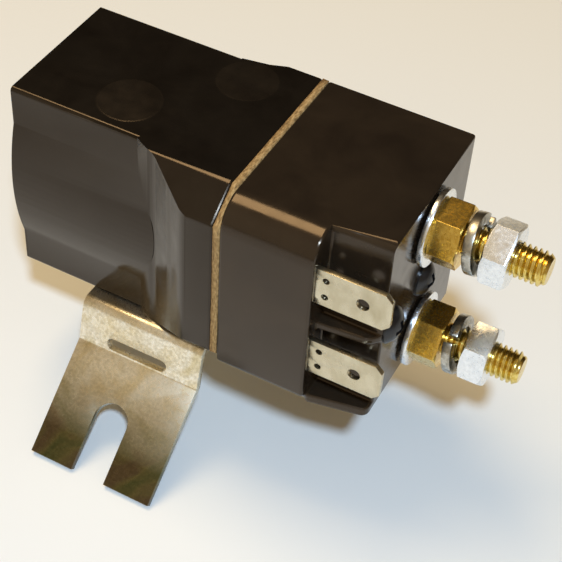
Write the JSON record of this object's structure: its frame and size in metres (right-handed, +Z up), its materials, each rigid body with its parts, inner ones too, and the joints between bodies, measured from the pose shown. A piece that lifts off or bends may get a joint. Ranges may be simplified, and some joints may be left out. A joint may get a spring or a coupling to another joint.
{
  "type": "dc contactor",
  "caption": "Compact DC contactor with two stud terminals, blade coil tabs and a yellow-passivated foot bracket.",
  "frame": {"origin": "centre of the overall box in X and Y, on the floor under the bracket feet", "axes": "+X along the coil axis towards the stud terminals, +Z up, -Y the side of the coil tabs"},
  "size_m": [0.0776, 0.0614, 0.0538],
  "materials": {
    "black_moulding": "glossy moulded thermoset",
    "tan_fibre": "rough pressed fibre",
    "yellow_passivated_steel": "zinc plate with a golden iridescent passivation",
    "zinc_plated_steel": "bright zinc",
    "black_steel": "black oxide",
    "brass": "bright turned brass",
    "black_rubber": "matt",
    "spring_steel": "dull plated spring steel",
    "tinned_brass": "bright tin plate",
    "wire_insulation": "smooth sleeve",
    "magnet_steel": "nickel-plated soft iron",
    "cream_nylon": "moulded nylon",
    "enamelled_copper": "wound enamelled wire",
    "dark_moulding": "moulded phenolic",
    "copper": "bare copper bar",
    "silver_alloy": "plain contact alloy"
  },
  "bodies": {
    "root": {"coil_housing": "black_moulding", "contact_housing": "black_moulding", "gasket": "tan_fibre", "foot_bracket": "yellow_passivated_steel", "bracket_screws": "zinc_plated_steel", "housing_screws": "black_steel", "barrier_screw": "black_steel", "upper_stud": "brass", "lower_stud": "brass", "stud_seal_rings": "black_rubber", "flat_washers": "zinc_plated_steel", "brass_nuts": "brass", "upper_spring_washer": "spring_steel", "lower_spring_washer": "spring_steel", "terminal_nuts": "zinc_plated_steel", "upper_coil_tab": "tinned_brass", "lower_coil_tab": "tinned_brass", "upper_coil_lead": "wire_insulation", "lower_coil_lead": "wire_insulation", "yoke_frame": "magnet_steel", "pole_plate": "magnet_steel", "fixed_core": "magnet_steel", "guide_sleeve": "brass", "rest_pad": "black_rubber", "coil_bobbin": "cream_nylon", "coil_winding": "enamelled_copper", "return_spring": "spring_steel", "fixed_tips": "silver_alloy", "arc_barrier": "cream_nylon"},
    "armature": {"plunger": "magnet_steel", "push_rod": "spring_steel", "contact_carrier": "dark_moulding", "bridge_clip": "spring_steel", "contact_spring": "spring_steel"},
    "bridge": {"contact_bridge": "copper", "bridge_tips": "silver_alloy"}
  },
  "joints": [
    {"name": "plunger_slide", "type": "slide", "parent": "root", "child": "armature", "axis": [1, 0, 0], "range_m": [0, 0.0022], "stiffness_N_per_m": 300, "springref_m": -0.004, "deforming": ["return_spring"]},
    {"name": "bridge_float", "type": "slide", "parent": "armature", "child": "bridge", "axis": [1, 0, 0], "range_m": [-0.0007, 0], "deforming": ["contact_spring"]}
  ],
  "couplings": [
    {"joint": "bridge_float", "follows": "plunger_slide", "ratio": -0.318}
  ]
}
